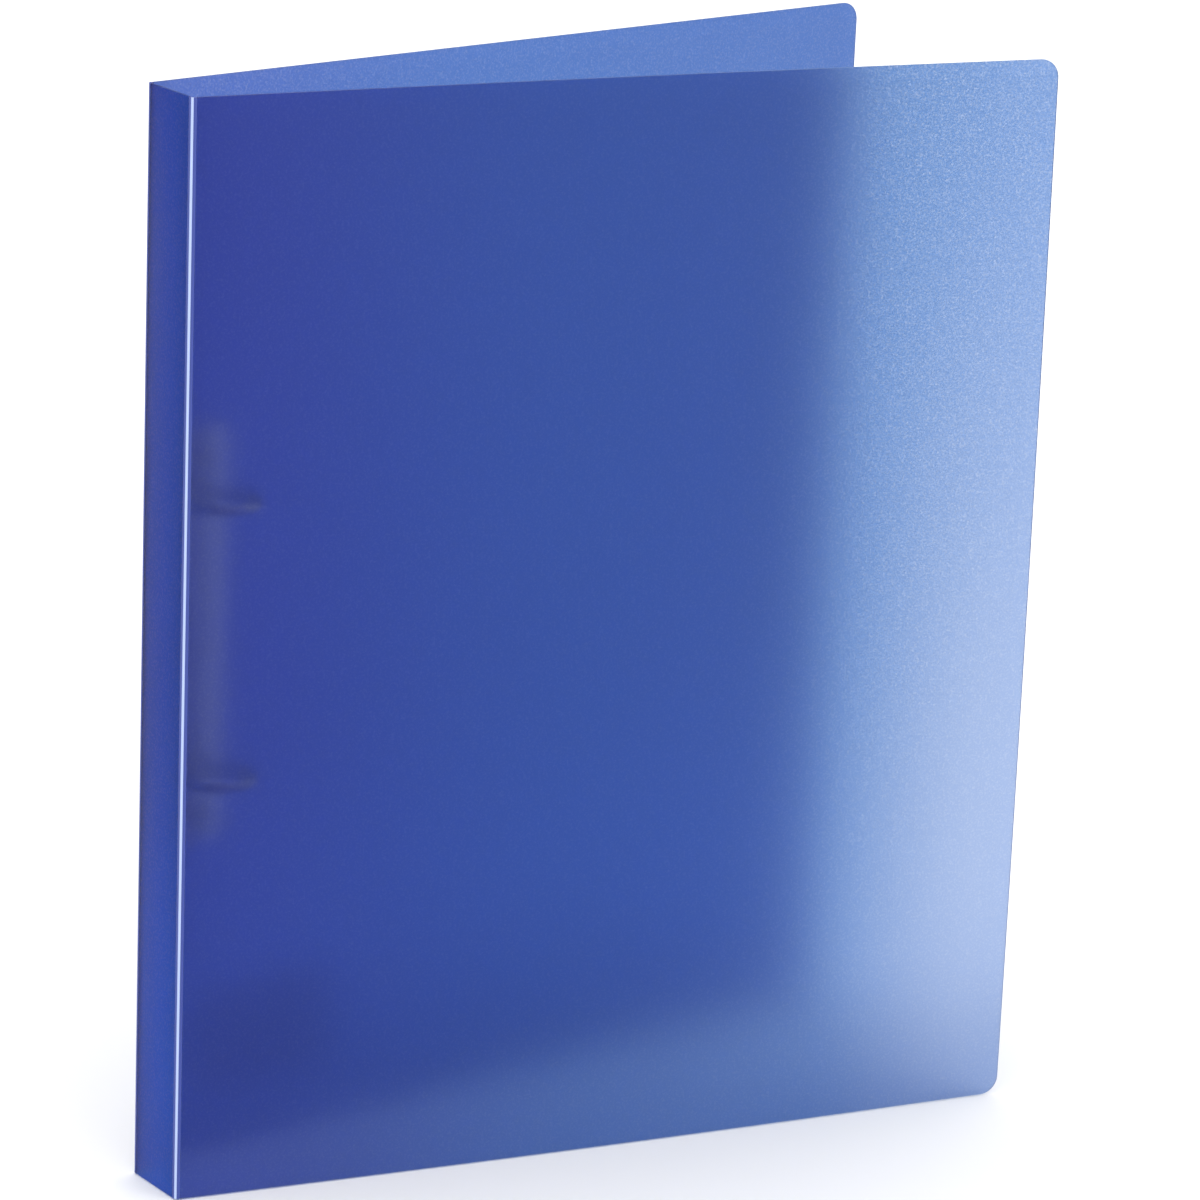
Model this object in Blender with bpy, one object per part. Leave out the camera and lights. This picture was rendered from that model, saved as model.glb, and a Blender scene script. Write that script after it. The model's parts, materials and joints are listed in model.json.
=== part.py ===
"""A4 two-ring binder in frosted polypropylene, standing open on its bottom edges.

The shell is one sheet scored along two vertical fold lines, so it works as a front cover,
a spine and a back cover joined by living hinges. A short ring mechanism is riveted inside
the back cover, beside the spine: an arched spring housing holds two carrier blades, and
each blade carries one half of both rings.

Frame: the origin is on the surface that the binder stands on, at the middle of the spine
and of its thickness. +Z is up, +X runs from the spine towards the covers' free edges, and
the front cover is on the -Y side. Sizes are in millimetres and become metres in the mesh.
"""

import math

import bmesh
import bpy
from mathutils import Matrix, Vector

MM = 0.001

# Shell
COVER_HEIGHT = 315.0
COVER_WIDTH = 261.0         # from a fold line to the free edge
SPINE_WIDTH = 23.0          # between the two fold lines
SHEET = 0.8
CORNER_RADIUS = 5.5
FOLD_SETBACK = 0.75         # from a fold line to the panel beside it
WEB_RADIUS = 0.4
FRONT_REST_DEG = 10.7       # how far each cover stands open, from square to the spine
BACK_REST_DEG = 6.2

# Ring mechanism, drawn across the rail (u), out from the back cover's inner face (n) and
# along the rail (z, from the middle of the cover's height)
RAIL_SETBACK = 20.0         # from the back fold line to the rail's centre line
RAIL_LENGTH = 120.0
RING_PITCH = 80.0
RIVET_PITCH = 104.0
CLEARANCE = 0.3

HOUSING_HALF_WIDTH = 6.9
HOUSING_SHEET = 0.55
HOUSING_BASE = 0.3
HOUSING_SHOULDER = 2.2      # where the side walls turn into the arch
HOUSING_CREST = 4.2
LIP_END = 5.2               # how near the centre line the curled-in lips come
LIP_BEND = 0.6
NOTCH_WIDTH = 3.6
NOTCH_INNER = 3.2

PIVOT_U = 5.75
PIVOT_N = 1.5
BLADE_SHEET = 0.7
BLADE_LENGTH = 114.0
BLADE_OUTER = -0.35         # across the blade, counted from its pivot
BLADE_INNER = 5.35
BLADE_CLOSED_DEG = -8.0     # the blades dip towards the centre line while the rings are shut
RING_SLOT_DEPTH = 2.1
RING_SLOT_AIR = 0.4         # beside the wire, on each side
POST_SLOT_DEPTH = 2.2
POST_SLOT_AIR = 0.5

RING_BORE = 16.0
WIRE_RADIUS = 1.3
RING_CENTRE_N = 9.9
TIP_GAP = 0.3               # between the tips of a shut ring's two halves
ROOT_DEG = 242.8            # where a ring half ends in its blade, counted from +u
RING_STEPS = 22
WIRE_SIDES = 12
STUB_BASE = 0.75
STUB_TIP = 0.4
STUB_LENGTH = 0.9
SOCKET_MOUTH = 1.05
SOCKET_FLOOR = 0.65
SOCKET_DEPTH = 1.2

POST_RADIUS = 3.0
POST_TOP = 2.9
SHANK_RADIUS = 2.0
EYELET_RADIUS = 1.3
EYELET_FLARE = 0.3
EYELET_FLOOR = 1.0
HEAD_RADIUS = 4.0
HEAD_HEIGHT = 1.0
HEAD_RIM = 0.2
FLANGE_RADIUS = 2.9
FLANGE_HEIGHT = 0.6
FLANGE_ROUND = 0.4
TURNED_SIDES = 24
CUTTER_OVERRUN = 2.0        # how far a cutter runs past the face it cuts

# Blank paper label on the outside of the back cover
LABEL_SIZE = (46.0, 32.0)
LABEL_CENTRE = (47.0, 34.0)  # from the back fold line, and from the bottom edge
LABEL_CORNER = 9.0
LABEL_SHEET = 0.3

RING_RADIUS = RING_BORE / 2 + WIRE_RADIUS
MIDDLE_Z = COVER_HEIGHT / 2
INNER_FACE_Y = -SHEET / 2    # the back cover's inner face, in that cover's own frame


def clear_scene():
    """Removes every object that the file starts with."""
    for start_object in list(bpy.data.objects):
        bpy.data.objects.remove(start_object, do_unlink=True)


def make_material(name, colour, roughness, metallic=0.0, alpha=1.0):
    """Principled material; colour is linear RGB."""
    material = bpy.data.materials.new(name)
    material.use_nodes = True
    shader = material.node_tree.nodes["Principled BSDF"]
    shader.inputs["Base Color"].default_value = (*colour, 1.0)
    shader.inputs["Roughness"].default_value = roughness
    shader.inputs["Metallic"].default_value = metallic
    shader.inputs["Alpha"].default_value = alpha
    return material


def add_empty(name, location_mm, turn_deg=0.0, parent=None):
    """A frame that pieces hang from, turned about its own Z axis."""
    empty = bpy.data.objects.new(name, None)
    empty.location = Vector(location_mm) * MM
    empty.rotation_euler = (0.0, 0.0, math.radians(turn_deg))
    empty.parent = parent
    bpy.context.scene.collection.objects.link(empty)
    return empty


def add_piece(name, mesh_data, material, parent=None, smooth_deg=None):
    """Turns a bmesh drawn in millimetres into an object with its faces pointing out."""
    bmesh.ops.recalc_face_normals(mesh_data, faces=mesh_data.faces)
    bmesh.ops.scale(mesh_data, vec=(MM, MM, MM), verts=mesh_data.verts)
    mesh = bpy.data.meshes.new(name)
    mesh_data.to_mesh(mesh)
    mesh_data.free()
    mesh.materials.append(material)
    if smooth_deg is not None:
        mesh.shade_smooth()
        mesh.set_sharp_from_angle(angle=math.radians(smooth_deg))
    piece = bpy.data.objects.new(name, mesh)
    piece.parent = parent
    bpy.context.scene.collection.objects.link(piece)
    return piece


def arc_points(centre, radius, start_deg, end_deg, steps):
    """Points along an arc, both ends included."""
    points = []
    for step in range(steps + 1):
        angle = math.radians(start_deg + (end_deg - start_deg) * step / steps)
        points.append((centre[0] + radius * math.cos(angle),
                       centre[1] + radius * math.sin(angle)))
    return points


def prism(outline, direction):
    """A closed solid: a flat outline of 3-D points pushed along a direction."""
    mesh_data = bmesh.new()
    face = mesh_data.faces.new([mesh_data.verts.new(point) for point in outline])
    pushed = bmesh.ops.extrude_face_region(mesh_data, geom=[face])
    moved = [item for item in pushed["geom"] if isinstance(item, bmesh.types.BMVert)]
    bmesh.ops.translate(mesh_data, vec=direction, verts=moved)
    return mesh_data


def turned_solid(profile, sides):
    """A closed solid of revolution about Z from a profile of (radius, height) points.

    The profile's first and last points are on the axis.
    """
    mesh_data = bmesh.new()
    verts = [mesh_data.verts.new((radius, 0.0, height)) for radius, height in profile]
    edges = [mesh_data.edges.new(pair) for pair in zip(verts, verts[1:])]
    bmesh.ops.spin(mesh_data, geom=verts + edges, cent=(0, 0, 0), axis=(0, 0, 1),
                   angle=math.tau, steps=sides, use_merge=True)
    bmesh.ops.remove_doubles(mesh_data, verts=mesh_data.verts, dist=0.001)
    return mesh_data


def cut_with(piece, cutter_mesh, name, parent):
    """Boolean difference; the cutter stays as a hidden wire guide."""
    cutter = add_piece(name, cutter_mesh, piece.data.materials[0], parent)
    cutter.hide_render = True
    cutter.display_type = "WIRE"
    cut = piece.modifiers.new(name, "BOOLEAN")
    cut.operation = "DIFFERENCE"
    cut.solver = "EXACT"
    cut.object = cutter


def cover_outline(near_x, far_x, face_y):
    """A cover: square corners beside the fold, round ones on the free edge."""
    low = arc_points((far_x - CORNER_RADIUS, CORNER_RADIUS), CORNER_RADIUS, -90, 0, 8)
    high = arc_points((far_x - CORNER_RADIUS, COVER_HEIGHT - CORNER_RADIUS),
                      CORNER_RADIUS, 0, 90, 8)
    corners = [(near_x, 0.0)] + low + high + [(near_x, COVER_HEIGHT)]
    return [(x, face_y, z) for x, z in corners]


def rail_to_cover(u, n):
    """A point of the mechanism's section in the back cover's own X and Y."""
    return RAIL_SETBACK + u, INNER_FACE_Y - n


def build_shell(front_frame, back_frame, plastic):
    """The two covers, the spine panel and a web in each fold line."""
    front_sheet = prism(cover_outline(FOLD_SETBACK, COVER_WIDTH, -SHEET / 2), (0, SHEET, 0))
    add_piece("front_cover", front_sheet, plastic, front_frame)

    half_spine = SPINE_WIDTH / 2 - FOLD_SETBACK
    spine_outline = [(-SHEET / 2, -half_spine, 0.0), (SHEET / 2, -half_spine, 0.0),
                     (SHEET / 2, half_spine, 0.0), (-SHEET / 2, half_spine, 0.0)]
    add_piece("spine_panel", prism(spine_outline, (0, 0, COVER_HEIGHT)), plastic)

    for name, side in (("front_fold_web", -1), ("back_fold_web", 1)):
        circle = arc_points((0.0, side * SPINE_WIDTH / 2), WEB_RADIUS, 0, 330, 11)
        bead = prism([(x, y, 0.0) for x, y in circle], (0, 0, COVER_HEIGHT))
        add_piece(name, bead, plastic, smooth_deg=40)

    back_sheet = prism(cover_outline(FOLD_SETBACK, COVER_WIDTH, -SHEET / 2), (0, SHEET, 0))
    back_cover = add_piece("back_cover", back_sheet, plastic, back_frame)
    hole_radius = SHANK_RADIUS + CLEARANCE
    for name, along in (("rivet_hole_lower", -1), ("rivet_hole_upper", 1)):
        centre = (RAIL_SETBACK, MIDDLE_Z + along * RIVET_PITCH / 2)
        circle = arc_points(centre, hole_radius, 0, 345, TURNED_SIDES - 1)
        drill = prism([(x, -2 * SHEET, z) for x, z in circle], (0, 4 * SHEET, 0))
        cut_with(back_cover, drill, name, back_frame)


def housing_section():
    """Half of the arch's section on the -u side, then its mirror image."""
    rise = HOUSING_CREST - HOUSING_SHOULDER
    outer_radius = (HOUSING_HALF_WIDTH ** 2 + rise ** 2) / (2 * rise)
    inner_radius = outer_radius - HOUSING_SHEET
    arch_centre = (0.0, HOUSING_CREST - outer_radius)
    inner_wall = HOUSING_HALF_WIDTH - HOUSING_SHEET
    outer_start = 90 + math.degrees(math.asin(HOUSING_HALF_WIDTH / outer_radius))
    inner_start = 90 + math.degrees(math.asin(inner_wall / inner_radius))
    bend_centre = (-HOUSING_HALF_WIDTH + LIP_BEND, HOUSING_BASE + LIP_BEND)

    lip = [(-LIP_END, HOUSING_BASE)] + arc_points(bend_centre, LIP_BEND, 270, 180, 3)
    outer_half = lip + arc_points(arch_centre, outer_radius, outer_start, 90, 8)[:-1]
    crest = [(0.0, HOUSING_CREST)]
    outer = outer_half + crest + [(-u, n) for u, n in reversed(outer_half)]

    lip_top = HOUSING_BASE + HOUSING_SHEET
    inner_half = [(-LIP_END, lip_top), (-inner_wall, lip_top)]
    inner_half += arc_points(arch_centre, inner_radius, inner_start, 90, 8)[:-1]
    under_crest = [(0.0, HOUSING_CREST - HOUSING_SHEET)]
    inner = inner_half + under_crest + [(-u, n) for u, n in reversed(inner_half)]
    return outer + list(reversed(inner))


def build_housing(back_frame, steel):
    """The arched spring housing with a slot for each ring half and a hole for each rivet."""
    bottom = MIDDLE_Z - RAIL_LENGTH / 2
    outline = [(*rail_to_cover(u, n), bottom) for u, n in housing_section()]
    housing = add_piece("ring_housing", prism(outline, (0, 0, RAIL_LENGTH)), steel,
                        back_frame, smooth_deg=30)
    slot_outer = HOUSING_HALF_WIDTH + CUTTER_OVERRUN
    slot_top = HOUSING_CREST + CUTTER_OVERRUN
    for level, along in (("lower", -1), ("upper", 1)):
        slot_low = MIDDLE_Z + along * RING_PITCH / 2 - NOTCH_WIDTH / 2
        for flank, side in (("spine", -1), ("edge", 1)):
            corners = [(NOTCH_INNER, -CUTTER_OVERRUN), (slot_outer, -CUTTER_OVERRUN),
                       (slot_outer, slot_top), (NOTCH_INNER, slot_top)]
            box = prism([(*rail_to_cover(side * u, n), slot_low) for u, n in corners],
                        (0, 0, NOTCH_WIDTH))
            cut_with(housing, box, f"ring_slot_{level}_{flank}", back_frame)
        centre = (RAIL_SETBACK, MIDDLE_Z + along * RIVET_PITCH / 2)
        circle = arc_points(centre, SHANK_RADIUS + CLEARANCE, 0, 345, TURNED_SIDES - 1)
        start_y = INNER_FACE_Y - slot_top
        drill = prism([(x, start_y, z) for x, z in circle], (0, HOUSING_CREST, 0))
        cut_with(housing, drill, f"rivet_hole_{level}_top", back_frame)


def blade_outline():
    """One blade seen flat: across from its pivot, and along the rail from its middle."""
    half = BLADE_LENGTH / 2
    ring_low = RING_PITCH / 2 - WIRE_RADIUS - RING_SLOT_AIR
    ring_high = RING_PITCH / 2 + WIRE_RADIUS + RING_SLOT_AIR
    post_low = RIVET_PITCH / 2 - POST_RADIUS - POST_SLOT_AIR
    post_high = RIVET_PITCH / 2 + POST_RADIUS + POST_SLOT_AIR
    outer_side = [(BLADE_OUTER, ring_low), (RING_SLOT_DEPTH, ring_low),
                  (RING_SLOT_DEPTH, ring_high), (BLADE_OUTER, ring_high),
                  (BLADE_OUTER, half)]
    inner_side = [(BLADE_INNER, half), (BLADE_INNER, post_high),
                  (POST_SLOT_DEPTH, post_high), (POST_SLOT_DEPTH, post_low),
                  (BLADE_INNER, post_low)]
    upper = outer_side + inner_side
    lower = [(across, -along) for across, along in reversed(upper)]
    return upper + lower


def build_blade(name, side, pivot_frame, steel):
    """A carrier blade, tipped to its closed angle about its pivot; side is -1 or +1."""
    tilt = math.radians(BLADE_CLOSED_DEG)
    across_dir = Vector((-side * math.cos(tilt), -math.sin(tilt), 0.0))
    normal = Vector((side * math.sin(tilt), -math.cos(tilt), 0.0))
    if normal.y > 0:
        normal = -normal
    outline = []
    for across, along in blade_outline():
        outline.append(across_dir * across - normal * BLADE_SHEET / 2
                       + Vector((0.0, 0.0, MIDDLE_Z + along)))
    add_piece(name, prism(outline, normal * BLADE_SHEET), steel, pivot_frame)


def shape_tip(mesh_data, tip_face, side):
    """The -u half ends in a tapered stub and the +u half in the socket that takes it."""
    if side < 0:
        first, last, depth = STUB_BASE, STUB_TIP, STUB_LENGTH
    else:
        first, last, depth = SOCKET_MOUTH, SOCKET_FLOOR, -SOCKET_DEPTH
    direction = tip_face.normal.copy()
    bmesh.ops.inset_region(mesh_data, faces=[tip_face], thickness=WIRE_RADIUS - first)
    pushed = bmesh.ops.extrude_face_region(mesh_data, geom=[tip_face])
    bmesh.ops.delete(mesh_data, geom=[tip_face], context="FACES_ONLY")
    moved = [item for item in pushed["geom"] if isinstance(item, bmesh.types.BMVert)]
    centre = sum((vert.co for vert in moved), Vector()) / len(moved)
    bmesh.ops.scale(mesh_data, vec=[last / first] * 3, verts=moved,
                    space=Matrix.Translation(-centre))
    bmesh.ops.translate(mesh_data, vec=direction * depth, verts=moved)


def build_ring_half(name, side, height, pivot_frame, steel):
    """Half a ring of round wire, from its tip over the rail's centre line to its blade."""
    centre_x, centre_y = rail_to_cover(0.0, RING_CENTRE_N)
    pivot_x, pivot_y = rail_to_cover(side * PIVOT_U, PIVOT_N)
    centre = Vector((centre_x - pivot_x, centre_y - pivot_y, height))
    start = math.radians(90) + math.asin(TIP_GAP / 2 / RING_RADIUS)
    sweep = math.radians(ROOT_DEG) - start

    def wire_axis(angle):
        return Vector((-side * math.cos(angle), -math.sin(angle), 0.0))

    mesh_data = bmesh.new()
    outward = wire_axis(start)
    section = []
    for corner in range(WIRE_SIDES):
        turn = math.tau * (corner + 0.5) / WIRE_SIDES
        reach = RING_RADIUS + WIRE_RADIUS * math.cos(turn)
        offset = Vector((0.0, 0.0, WIRE_RADIUS * math.sin(turn)))
        section.append(mesh_data.verts.new(centre + outward * reach + offset))
    tip_face = mesh_data.faces.new(section)
    swept = bmesh.ops.spin(mesh_data, geom=[tip_face], cent=centre, axis=(0, 0, side),
                           angle=sweep, steps=RING_STEPS, use_duplicate=False)
    bmesh.ops.recalc_face_normals(mesh_data, faces=mesh_data.faces)
    tip = centre + outward * RING_RADIUS
    ends = [face for face in mesh_data.faces if len(face.verts) == WIRE_SIDES]
    if len(ends) < 2 or not swept["geom_last"]:
        raise ValueError(f"{name}: the wire has no end faces")
    nearest = min(ends, key=lambda face: (face.calc_center_median() - tip).length)
    shape_tip(mesh_data, nearest, side)
    add_piece(name, mesh_data, steel, pivot_frame, smooth_deg=40)


def place_turned(mesh_data, height):
    """Lays a turned solid's Z axis along n, at the rail's centre line."""
    centre_x, face_y = rail_to_cover(0.0, 0.0)
    lay_down = Matrix.Rotation(math.radians(90), 4, "X")
    place = Matrix.Translation((centre_x, face_y, height))
    bmesh.ops.transform(mesh_data, matrix=place @ lay_down, verts=mesh_data.verts)


def build_rivet(level, height, back_frame, steel):
    """A tubular rivet: domed head outside the cover, rolled flange over the housing."""
    seat = -SHEET - CLEARANCE
    flange = HOUSING_CREST + CLEARANCE
    dome = [(HEAD_RADIUS * part, seat - HEAD_HEIGHT * (1 - part ** 2.5))
            for part in (0.0, 0.35, 0.65, 0.88)]
    profile = dome + [(HEAD_RADIUS, seat - HEAD_RIM), (HEAD_RADIUS, seat),
                      (SHANK_RADIUS, seat), (SHANK_RADIUS, flange), (FLANGE_RADIUS, flange),
                      (FLANGE_RADIUS, flange + FLANGE_HEIGHT / 2),
                      (FLANGE_RADIUS - FLANGE_ROUND, flange + FLANGE_HEIGHT),
                      (EYELET_RADIUS + EYELET_FLARE, flange + FLANGE_HEIGHT),
                      (EYELET_RADIUS, flange + FLANGE_HEIGHT / 2),
                      (EYELET_RADIUS, EYELET_FLOOR), (0.0, EYELET_FLOOR)]
    rivet = turned_solid(profile, TURNED_SIDES)
    place_turned(rivet, height)
    add_piece(f"rivet_{level}", rivet, steel, back_frame, smooth_deg=35)


def build_post(level, height, back_frame, steel):
    """The spacer sleeve round a rivet, between the cover and the housing."""
    bore = SHANK_RADIUS + CLEARANCE
    low = CLEARANCE
    mesh_data = bmesh.new()
    corners = [(bore, low), (POST_RADIUS, low), (POST_RADIUS, POST_TOP), (bore, POST_TOP)]
    verts = [mesh_data.verts.new((radius, 0.0, n)) for radius, n in corners]
    edges = [mesh_data.edges.new((verts[i], verts[(i + 1) % 4])) for i in range(4)]
    bmesh.ops.spin(mesh_data, geom=verts + edges, cent=(0, 0, 0), axis=(0, 0, 1),
                   angle=math.tau, steps=TURNED_SIDES, use_merge=True)
    bmesh.ops.remove_doubles(mesh_data, verts=mesh_data.verts, dist=0.001)
    place_turned(mesh_data, height)
    add_piece(f"rivet_post_{level}", mesh_data, steel, back_frame, smooth_deg=35)


def build_label(back_frame, paper):
    """A blank sticker with round corners on the back cover's outer face."""
    half_w = LABEL_SIZE[0] / 2 - LABEL_CORNER
    half_h = LABEL_SIZE[1] / 2 - LABEL_CORNER
    outline = []
    for sign_x, sign_z, start in ((1, 1, 0), (-1, 1, 90), (-1, -1, 180), (1, -1, 270)):
        centre = (LABEL_CENTRE[0] + sign_x * half_w, LABEL_CENTRE[1] + sign_z * half_h)
        outline += arc_points(centre, LABEL_CORNER, start, start + 90, 8)
    face_y = SHEET / 2 + CLEARANCE
    label = prism([(x, face_y, z) for x, z in outline], (0, LABEL_SHEET, 0))
    add_piece("retail_label", label, paper, back_frame)


def build_binder():
    """Makes every piece and hangs it on its joint's frame."""
    plastic = make_material("blue_polypropylene", (0.05, 0.12, 0.48), 0.35, alpha=0.6)
    nickel = make_material("nickel_plated_steel", (0.62, 0.61, 0.59), 0.25, metallic=1.0)
    paper = make_material("white_paper", (0.85, 0.85, 0.85), 0.6)

    front_frame = add_empty("front_fold_axis", (0, -SPINE_WIDTH / 2, 0), -FRONT_REST_DEG)
    back_frame = add_empty("back_fold_axis", (0, SPINE_WIDTH / 2, 0), BACK_REST_DEG)
    build_shell(front_frame, back_frame, plastic)
    build_housing(back_frame, nickel)

    levels = (("lower", -1), ("upper", 1))
    for flank, side in (("spine_side", -1), ("edge_side", 1)):
        pivot = rail_to_cover(side * PIVOT_U, PIVOT_N)
        pivot_frame = add_empty(f"{flank}_pivot", (*pivot, 0), parent=back_frame)
        build_blade(f"carrier_blade_{flank}", side, pivot_frame, nickel)
        for level, along in levels:
            height = MIDDLE_Z + along * RING_PITCH / 2
            build_ring_half(f"ring_{level}_{flank}", side, height, pivot_frame, nickel)
    for level, along in levels:
        height = MIDDLE_Z + along * RIVET_PITCH / 2
        build_rivet(level, height, back_frame, nickel)
        build_post(level, height, back_frame, nickel)
    build_label(back_frame, paper)


clear_scene()
build_binder()
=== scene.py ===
"""Looks of a translucent A4 two-ring binder that stands slightly open on its bottom edges.

The frame gives every place: fold lines, rest angles, ring pitch and heights come from the
packed joints and nodes. Each class below models one sub-assembly with Blender's own tools,
dresses it in its finish and hangs it on the body that carries it.
"""

from __future__ import annotations

import json
import logging
import math
from dataclasses import dataclass, field
from enum import Enum
from typing import Callable, Sequence

import bmesh
import bpy
from mathutils import Matrix, Vector


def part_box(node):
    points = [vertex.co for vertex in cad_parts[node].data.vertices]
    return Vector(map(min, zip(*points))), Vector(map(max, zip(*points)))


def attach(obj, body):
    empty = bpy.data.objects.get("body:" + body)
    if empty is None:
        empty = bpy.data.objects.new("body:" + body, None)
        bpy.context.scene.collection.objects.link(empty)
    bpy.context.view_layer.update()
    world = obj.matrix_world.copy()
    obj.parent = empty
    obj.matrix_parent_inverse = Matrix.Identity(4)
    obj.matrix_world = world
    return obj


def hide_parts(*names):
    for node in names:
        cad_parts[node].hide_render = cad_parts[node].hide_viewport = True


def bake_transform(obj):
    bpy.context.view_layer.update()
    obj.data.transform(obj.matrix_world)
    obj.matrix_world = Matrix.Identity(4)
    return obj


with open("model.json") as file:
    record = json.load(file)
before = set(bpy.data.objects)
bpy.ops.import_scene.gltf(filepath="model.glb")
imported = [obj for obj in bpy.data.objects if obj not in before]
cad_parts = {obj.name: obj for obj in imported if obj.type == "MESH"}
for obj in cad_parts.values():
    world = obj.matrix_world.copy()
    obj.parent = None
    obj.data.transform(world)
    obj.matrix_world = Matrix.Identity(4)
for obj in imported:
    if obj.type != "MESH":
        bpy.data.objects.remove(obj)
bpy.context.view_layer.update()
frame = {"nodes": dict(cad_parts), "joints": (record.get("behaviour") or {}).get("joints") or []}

MM = 0.001
log = logging.getLogger("binder")

Point = Sequence[float]


class Pick(Enum):
    """What a selection in edit mode picks."""

    VERT = "VERT"
    EDGE = "EDGE"
    FACE = "FACE"


class Flank(Enum):
    """The two long sides of the ring rail, as the sign of the direction across it."""

    SPINE_SIDE = -1
    EDGE_SIDE = 1


class Level(Enum):
    """The lower and the upper ring, or rivet, as the sign of the way up from the middle."""

    LOWER = -1
    UPPER = 1


# ---------------------------------------------------------------- modelling helpers


def deselect_all() -> None:
    """Leaves edit mode and clears the selection."""
    if bpy.context.mode != "OBJECT":
        bpy.ops.object.mode_set(mode="OBJECT")
    bpy.ops.object.select_all(action="DESELECT")


def make_active(piece: bpy.types.Object) -> None:
    """Makes one object the only selected one, and the active one."""
    deselect_all()
    piece.select_set(True)
    bpy.context.view_layer.objects.active = piece


def apply_place(piece: bpy.types.Object) -> None:
    """Moves an object's location, turn and scale into its mesh."""
    make_active(piece)
    bpy.ops.object.transform_apply(location=True, rotation=True, scale=True)


def take_new(name: str) -> bpy.types.Object:
    """Names the primitive that was just added.

    Args:
        name: the piece's name.

    Returns:
        The active object.
    """
    piece = bpy.context.active_object
    piece.name = name
    piece.data.name = name
    return piece


def add_block(name: str, low: Point, high: Point) -> bpy.types.Object:
    """Adds a block between two corners.

    Args:
        name: the piece's name.
        low: the lowest corner, in metres.
        high: the highest corner, in metres.

    Returns:
        The block, with its size and place in its mesh.
    """
    deselect_all()
    centre = [(a + b) / 2 for a, b in zip(low, high)]
    bpy.ops.mesh.primitive_cube_add(size=1.0, location=centre)
    block = take_new(name)
    block.scale = [b - a for a, b in zip(low, high)]
    apply_place(block)
    return block


def select_in_edit(piece: bpy.types.Object, pick: Pick, test: Callable[..., bool]) -> int:
    """Selects the vertices, edges or faces of the piece in edit mode that pass a test.

    Args:
        piece: the object in edit mode.
        pick: which kind of element is tested.
        test: takes one bmesh element.

    Returns:
        How many were selected.
    """
    bpy.ops.mesh.select_mode(type=pick.value)
    bpy.ops.mesh.select_all(action="DESELECT")
    mesh_data = bmesh.from_edit_mesh(piece.data)
    elements = {Pick.VERT: mesh_data.verts, Pick.EDGE: mesh_data.edges,
                Pick.FACE: mesh_data.faces}[pick]
    chosen = [element for element in elements if test(element)]
    for element in chosen:
        element.select_set(True)
    mesh_data.select_flush_mode()
    bmesh.update_edit_mesh(piece.data)
    return len(chosen)


def edit(piece: bpy.types.Object) -> None:
    """Opens a piece in edit mode."""
    make_active(piece)
    bpy.ops.object.mode_set(mode="EDIT")


def done() -> None:
    """Closes edit mode."""
    bpy.ops.object.mode_set(mode="OBJECT")


def cut_loops(piece: bpy.types.Object, places: Sequence[float], axis: int) -> None:
    """Cuts a piece in edit mode with planes square to one axis, and keeps both sides.

    Args:
        piece: the object in edit mode.
        places: where the planes stand along the axis, in metres.
        axis: 0, 1 or 2 for X, Y or Z.
    """
    normal = [0.0, 0.0, 0.0]
    normal[axis] = 1.0
    for place in places:
        point = [0.0, 0.0, 0.0]
        point[axis] = place
        bpy.ops.mesh.select_all(action="SELECT")
        bpy.ops.mesh.bisect(plane_co=point, plane_no=normal, use_fill=False,
                            clear_inner=False, clear_outer=False)


def spin_selection(angle: float, centre: Vector, steps: int) -> None:
    """Sweeps what is selected about a line along Z, anticlockwise seen from above.

    Args:
        angle: in radians. The operator itself counts clockwise, so it gets the opposite.
        centre: a point on the line.
        steps: how many segments the sweep has.
    """
    bpy.ops.mesh.spin(steps=steps, angle=-angle, center=centre, axis=(0.0, 0.0, 1.0))


def apply_modifier(piece: bpy.types.Object, kind: str, **settings: object) -> None:
    """Adds a modifier, sets it and applies it.

    Args:
        piece: the object.
        kind: the modifier's type.
        **settings: its settings.
    """
    make_active(piece)
    modifier = piece.modifiers.new(kind.lower(), kind)
    for key, value in settings.items():
        setattr(modifier, key, value)
    bpy.ops.object.modifier_apply(modifier=modifier.name)


def round_edges(piece: bpy.types.Object, width_mm: float, segments: int = 2,
                angle_deg: float = 35.0) -> None:
    """Rounds the sharp edges of a finished shape.

    Args:
        piece: the object.
        width_mm: how wide the rounding is.
        segments: how many facets it has.
        angle_deg: an edge is rounded where its faces turn by more than this.
    """
    apply_modifier(piece, "BEVEL", width=width_mm * MM, segments=segments,
                   limit_method="ANGLE", angle_limit=math.radians(angle_deg))


def cut_away(piece: bpy.types.Object, cutter: bpy.types.Object) -> None:
    """Cuts one closed shape out of another and removes the cutter."""
    apply_modifier(piece, "BOOLEAN", operation="DIFFERENCE", solver="EXACT", object=cutter)
    bpy.data.objects.remove(cutter, do_unlink=True)


def smooth(piece: bpy.types.Object, angle_deg: float = 35.0) -> None:
    """Shades a piece smooth and keeps its sharp edges."""
    make_active(piece)
    bpy.ops.object.shade_smooth_by_angle(angle=math.radians(angle_deg))


def tidy_mesh(piece: bpy.types.Object) -> None:
    """Merges doubled vertices and turns all faces outwards.

    Args:
        piece: the object.
    """
    edit(piece)
    bpy.ops.mesh.select_all(action="SELECT")
    bpy.ops.mesh.remove_doubles(threshold=0.002 * MM)
    bpy.ops.mesh.normals_make_consistent(inside=False)
    done()


def spread(start: float, end: float, count: int) -> list[float]:
    """Evenly spaced places strictly between two ends."""
    return [start + (end - start) * step / (count + 1) for step in range(1, count + 1)]


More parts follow.
